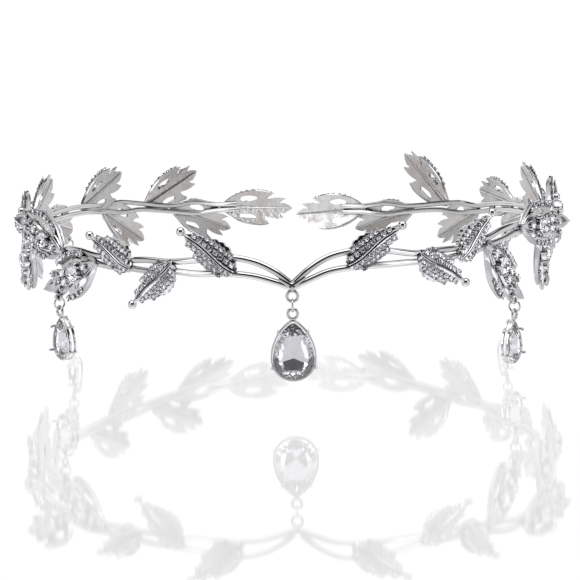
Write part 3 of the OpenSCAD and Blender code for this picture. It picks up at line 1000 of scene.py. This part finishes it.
def small_leaf():
    """The metal of a small leaf and the stones set in it."""
    metal = Form()
    stones = Form()
    half = SMALL_W / 2
    edge = []
    for x, y in smooth_row(SMALL_EDGE, SMALL_EDGE_STEPS):
        scallop = abs(math.sin(SCALLOPS * math.pi * x)) - SCALLOP_MIDDLE
        edge.append((x, y + SCALLOP_DEPTH * min(1, SCALLOP_GROWTH * y) * scallop))
    metal.stamp(plate(edge, edge, SMALL_L, half, SMALL_FOLD, SMALL_PLATE_T))
    body = [(x, 0, wide * half, top) for x, wide, top in SMALL_BODY]
    metal.stamp(ribbon(body, 24, low_arch, half, SMALL_L, SMALL_FOLD, SMALL_BASE, 13),
                number=SEAT_NUMBER)
    for way in (MIDRIB_APART, -MIDRIB_APART):
        bar = [(x, y + way, wide, top) for x, y, wide, top in MIDRIB]
        metal.stamp(ribbon(bar, 26, dome, half, SMALL_L, 0, MIDRIB_BASE, 7))
    cut = round_stone(PAVE_D, 6, 0, SMALL_PAVILION)
    bead = ball(PAVE_BEAD_R, 4, 6)
    for way in (1, -1):
        for share, start, end, count in PAVE_ROWS:
            for x in np.linspace(start, end, count):
                place_stone(stones, metal, cut, bead, PAVE_D, x * SMALL_L, way * share * half,
                            PAVE_TOP, SMALL_FOLD)
    metal.stamp(tube([(SMALL_L + x, 0, z) for x, z in STALK], STALK_R, 10))
    metal.stamp(ball(BALL_D / 2, 12, 20), at(SMALL_L + BALL_AT[0], 0, BALL_AT[1]))
    return metal, stones


# Vine

WIRE_STEPS = 240
# The angles between which the short stem at the forehead runs
STEM_SPAN = (-0.4, 2.4)


def wires():
    """The two polished wires of each side, the stem at the forehead and the eyes."""
    form = Form()
    for side in SIDES:
        for way in (1, -1):
            path = [wire_point(side, a, way) for a in np.linspace(0, VINE_END, WIRE_STEPS)]
            form.stamp(tube(path, WIRE_D / 2, 14), mirror_of(side))
        stem = [wire_point(side, a) for a in np.linspace(*STEM_SPAN, 8)]
        form.stamp(tube(stem, np.linspace(STEM_D / 2, STEM_D / 3, 8), 16), mirror_of(side))
    for drop in DROPS:
        form.stamp(ring(eye_r(drop), EYE_WIRE_SEEN), drop_matrix(drop))
    return form


# Drops

# The rails of a setting: how many steps they have, and how much of their width and height
# their softened edges take
RAIL_STEPS = 120
RAIL_SOFT = 0.25
RAIL_EDGE = 0.18
# The claws of a setting: their heights as shares of its width, how far they stand outside
# it, how far their tips lean in, and their rows of height and radius
DROP_CLAW_AT = (0.6, -0.2)
DROP_CLAW_OUT = 0.3
DROP_CLAW_IN = 0.2
DROP_CLAW_ROWS = [(-SETTING_DEPTH, 0.26), (0.1, 0.26), (0.45, 0.32), (0.85, 0.42)]
# The post that joins the two rails below the loop
POST_R = 0.3
# The cut of the front pear: facets, widths of its table and of its pavilion's middle as
# shares, height of its girdle, then table, stars and edge above the girdle, and edge, middle
# and culet below it. A smaller pear is lower in proportion.
PEAR_FACETS = 18
PEAR_TABLE = 0.54
PEAR_DEEP = 0.6
PEAR_GIRDLE = 0.3
PEAR_ABOVE = (1.3, 0.8, 0)
PEAR_BELOW = (0, -1.9, -2.5)


def pear_outline(w, l):
    """A pear of arcs, as a function of t from 0 to 1 round it, with the middle of its round
    end at 0 and the sharp end at +Y."""
    r = w / 2
    apex = l - r
    big = (apex**2 + r**2) / (2 * r)
    reach = math.asin(apex / big)
    flank_l = big * reach
    total = 2 * flank_l + math.pi * r

    def outline(t):
        s = t * total
        if s < flank_l:
            a = s / big
            return (big * math.cos(a) - big + r, big * math.sin(a))
        if s < 2 * flank_l:
            a = (2 * flank_l - s) / big
            return (big - r - big * math.cos(a), big * math.sin(a))
        a = math.pi + (s - 2 * flank_l) / r
        return (r * math.cos(a), r * math.sin(a))

    return outline


def pear_x(w, l, height):
    """Half the width of a pear at a height above the middle of its round end."""
    r = w / 2
    big = ((l - r) ** 2 + r**2) / (2 * r)
    if height < 0:
        return math.sqrt(r**2 - height**2)
    return math.sqrt(big**2 - height**2) - big + r


def rail(w, l, low, high):
    """A pear shaped rail with softened edges."""
    outer = pear_outline(w, l)
    inner = pear_outline(w - 2 * RIM, l - APEX_SHARE * RIM)
    edge = (high - low) * RAIL_EDGE
    points = []
    for i in range(RAIL_STEPS):
        o, n = (np.array(outline(i / RAIL_STEPS)) for outline in (outer, inner))
        a = o + (n - o) * RAIL_SOFT
        b = o + (n - o) * (1 - RAIL_SOFT)
        points += [(*o, low + edge), (*a, low), (*b, low), (*n, low + edge),
                   (*n, high - edge), (*b, high), (*a, high), (*o, high - edge)]
    return Form().add(points, skin(RAIL_STEPS, 8, closed=True))


def pear_size(drop):
    return SIDE_PEAR if drop[1] else FRONT_PEAR


def setting_size(drop):
    """The width and length of a drop's setting."""
    pear_w, pear_l = pear_size(drop)
    return pear_w + 2 * (RIM + RIM_INSIDE), pear_l + APEX_SHARE * (RIM + RIM_INSIDE)


def pear_matrix(drop):
    """From a pear's own frame, with the middle of its round end at 0, to the part's frame."""
    w, l = setting_size(drop)
    z = loop_z(drop) - LOOP_R - EYE_WIRE / 4 - l + w / 2
    return drop_matrix(drop) @ at(0, 0, z) @ QUARTER_X


def setting_form(drop):
    """The setting of a drop: two rails, four claws, a post and the loop on top."""
    w, l = setting_size(drop)
    form = Form()
    for low in (-SETTING_DEPTH, -RIM_H):
        form.stamp(rail(w, l, low, low + RIM_H))
    *feet, tip = DROP_CLAW_ROWS
    for height in DROP_CLAW_AT:
        y = height * w
        for way in (1, -1):
            x = way * (pear_x(w, l, y) + DROP_CLAW_OUT)
            inward = Vector((-x, -y, 0)).normalized() * DROP_CLAW_IN
            path = [(x, y, z) for z, _ in feet] + [(x + inward.x, y + inward.y, tip[0])]
            form.stamp(tube(path, [r for _, r in DROP_CLAW_ROWS], 12, round_end=True))
    top = l - w / 2 - POST_R
    form.stamp(tube([(0, top, -SETTING_DEPTH), (0, top, 0)], POST_R, 12))
    whole = Form().stamp(form, pear_matrix(drop))
    return whole.stamp(ring(LOOP_R, EYE_WIRE_SEEN), drop_matrix(drop) @ at(0, 0, loop_z(drop)))


def pear_form(drop):
    """The pear stone of a drop."""
    pear_w, pear_l = pear_size(drop)
    share = pear_w / FRONT_PEAR[0]
    heights = [PEAR_GIRDLE + z * share for z in PEAR_ABOVE] + [z * share for z in PEAR_BELOW]
    stone = cut_stone(pear_outline(pear_w, pear_l), PEAR_FACETS, PEAR_TABLE, heights, PEAR_DEEP)
    return Form().stamp(stone, pear_matrix(drop))


def link_form(drop):
    """The jump ring of a drop."""
    return Form().stamp(ring(LINK_R, LINK_WIRE), drop_matrix(drop) @ at(0, 0, link_z(drop)) @ QUARTER_Z)


# The pieces

# The cut of the main and the accent stones: facets round them, and for each kind how high
# its girdle sits and how deep its pavilion is, as a share
FACETS = 8
MAIN_GIRDLE_Z = 2.09
MAIN_PAVILION = 0.34
ACCENT_GIRDLE_Z = 1.8
ACCENT_PAVILION = 0.3

make_piece("vine_wires", wires(), [SILVER], "band", ["vine_frame"])

leaf_metal, leaf_stones = large_leaf()
small_metal, small_stones = small_leaf()
main_cut = round_stone(STONE_D, FACETS, MAIN_GIRDLE_Z, MAIN_PAVILION)
accent_cuts = [round_stone(share * ACCENT_D, FACETS, ACCENT_GIRDLE_Z, ACCENT_PAVILION)
               for _, _, share in ACCENTS]
for side in SIDES:
    metal, stones, mains, accents = Form(), Form(), Form(), Form()
    for row in LARGE_ROWS:
        place = leaf_matrix(side, row)
        metal.stamp(leaf_metal, place)
        stones.stamp(leaf_stones, place)
        mains.stamp(main_cut, place @ at(STONE_X * LEAF_L, 0))
        for (x, y, _), cut in zip(ACCENTS, accent_cuts):
            accents.stamp(cut, place @ at(x * LEAF_L, y * LEAF_W / 2))
    for row in SMALL_ROWS:
        place = leaf_matrix(side, row)
        metal.stamp(small_metal, place)
        stones.stamp(small_stones, place)
    name = SIDE_NAME[side]
    make_piece(f"leaves_{name}", metal, LEAF_METALS, "band")
    make_piece(f"petal_stones_{name}", stones, [CRYSTAL, FOIL], "band", flat=True)
    make_piece(f"main_stones_{name}", mains, [CRYSTAL, FOIL], "band",
               [f"stone_{name}_{row + 1}" for row in LARGE_ROWS], flat=True)
    make_piece(f"accents_{name}", accents, [CRYSTAL, FOIL], "band",
               [f"accent_stones_{name}"], flat=True)

for drop in DROPS:
    name = drop[0]
    make_piece(f"jump_ring_{name}", link_form(drop), [SILVER], f"ring_{name}",
               [f"link_{name}"])
    make_piece(f"drop_setting_{name}", setting_form(drop), [SILVER], f"drop_{name}",
               [f"setting_{name}"])
    make_piece(f"drop_pear_{name}", pear_form(drop), [PEAR_CRYSTAL, PEAR_FOIL], f"drop_{name}",
               [f"pear_{name}"], flat=True)


# Floor, light and camera, in metres

FLOOR_Z = -0.0328
FLOOR_FRONT = -1.7
FLOOR_BACK = 1.5
FLOOR_HALF_W = 1.6
BACKDROP_BEND = 0.5
BACKDROP_TOP = 1.3
# The soft lights. Columns: name, place, width and height, watts.
LIGHTS = [
    ("ceiling", (0, -0.25, 0.9), (1.2, 0.7), 4),
    ("left", (-0.8, -0.6, 0.45), (0.3, 0.6), 1.2),
    ("right", (0.85, -0.5, 0.4), (0.3, 0.6), 1.2),
]
# The studio's brightness. Columns: sine of the angle above the horizon, and brightness.
SKY_STEPS = [
    (-1, 0.5), (-0.3, 0.6), (0.3, 0.85), (0.36, 0.8), (0.44, 0.04), (0.66, 0.04), (0.73, 1), (1, 1),
]
# How much of it is left towards the front. Columns: how far the direction lies along +Y, as
# a share, and brightness.
FRONT_STEPS = [(-1, 0.02), (-0.78, 0.03), (-0.6, 0.9), (1, 1)]
# The photograph's viewpoint. Angles are in degrees, and the lens in millimetres.
CAMERA_PLACE = (-0.0005, -0.611, 0.05934)
CAMERA_PITCH = 7.236
CAMERA_ROLL = 1.307
LENS = 136.55
SENSOR_W = 36
VIEW_END = 20


def stage_piece(name, profile, material):
    """A sheet that runs along X through a profile of places in Y and Z."""
    points = [(way * FLOOR_HALF_W, y, z + FLOOR_Z) for y, z in profile for way in (-1, 1)]
    faces = [(2 * i, 2 * i + 1, 2 * i + 3, 2 * i + 2) for i in range(len(profile) - 1)]
    mesh = bpy.data.meshes.new(name)
    mesh.from_pydata(points, [], faces)
    mesh.polygons.foreach_set("use_smooth", [True] * len(faces))
    mesh.materials.append(material)
    add_object(name, mesh)


def white_sheet(name, glow_strength, gloss_share):
    """A matt white that glows faintly, as a lit studio sheet does, under a thin gloss."""
    material = bpy.data.materials.new(name)
    nodes, links = node_tree(material)
    nodes.remove(nodes["Principled BSDF"])
    matt = add_node(nodes, "BsdfDiffuse", Color=(0.05, 0.05, 0.05, 1))
    glow = add_node(nodes, "Emission", Strength=glow_strength)
    both = add_node(nodes, "AddShader")
    links.new(matt.outputs[0], both.inputs[0])
    links.new(glow.outputs[0], both.inputs[1])
    gloss = add_node(nodes, "BsdfGlossy", Color=(0.965, 0.97, 1, 1), Roughness=0.04)
    mix = add_node(nodes, "MixShader", Fac=gloss_share)
    links.new(both.outputs[0], mix.inputs[1])
    links.new(gloss.outputs[0], mix.inputs[2])
    links.new(mix.outputs[0], nodes["Material Output"].inputs["Surface"])
    return material


def floor():
    """A pale glossy floor and a matt sheet that runs up behind the object."""
    stage_piece("floor", [(FLOOR_FRONT, 0), (FLOOR_BACK, 0)], white_sheet("pale_floor", 0.99, 0.34))
    bend = BACKDROP_BEND
    curve = [(FLOOR_BACK + bend * math.sin(a), bend - bend * math.cos(a))
             for a in np.linspace(0, math.pi / 2, 9)]
    curve.append((FLOOR_BACK + bend, BACKDROP_TOP))
    stage_piece("backdrop", curve, white_sheet("backdrop", 1.02, 0))


def softbox(name, place, size, power):
    """A soft light that shines on the middle."""
    light = bpy.data.lights.new(name, "AREA")
    light.shape = "RECTANGLE"
    light.size, light.size_y = size
    light.energy = power
    lamp = add_object(name, light)
    lamp.location = place
    lamp.rotation_euler = (-Vector(place)).to_track_quat("-Z", "Y").to_euler()


def world():
    """A studio with a dark band below its ceiling and a dark front, so that polished metal
    has contrast."""
    sky = bpy.data.worlds.new("studio")
    bpy.context.scene.world = sky
    nodes, links = node_tree(sky)
    where = add_node(nodes, "TexCoord")
    split = add_node(nodes, "SeparateXYZ")
    links.new(where.outputs["Generated"], split.inputs["Vector"])
    brightness = []
    for axis, rows in (("Z", SKY_STEPS), ("Y", FRONT_STEPS)):
        level = add_node(nodes, "MapRange", From_Min=-1)
        links.new(split.outputs[axis], level.inputs["Value"])
        ramp = add_ramp(nodes, [((place + 1) / 2, [value] * 3) for place, value in rows])
        links.new(level.outputs["Result"], ramp.inputs["Fac"])
        brightness.append(ramp.outputs["Color"])
    both = add_node(nodes, "VectorMath")
    both.operation = "MULTIPLY"
    links.new(brightness[0], both.inputs[0])
    links.new(brightness[1], both.inputs[1])
    links.new(both.outputs["Vector"], nodes["Background"].inputs["Color"])


def camera():
    """In front, a little above, with a slight roll."""
    pitch = math.radians(CAMERA_PITCH)
    roll = math.radians(CAMERA_ROLL)
    ahead = Vector((0, math.cos(pitch), -math.sin(pitch)))
    down = Vector((0, -math.sin(pitch), -math.cos(pitch)))
    right = Vector((math.cos(roll), 0, 0)) + math.sin(roll) * down
    low = Vector((-math.sin(roll), 0, 0)) + math.cos(roll) * down
    lens = bpy.data.cameras.new("camera")
    lens.sensor_width = SENSOR_W
    lens.lens = LENS
    lens.clip_end = VIEW_END
    view = add_object("camera", lens)
    basis = Matrix((right, -low, -ahead)).transposed()
    view.matrix_world = Matrix.Translation(CAMERA_PLACE) @ basis.to_4x4()
    bpy.context.scene.camera = view


floor()
world()
for light in LIGHTS:
    softbox(*light)
camera()
bpy.context.scene.view_settings.view_transform = "Standard"
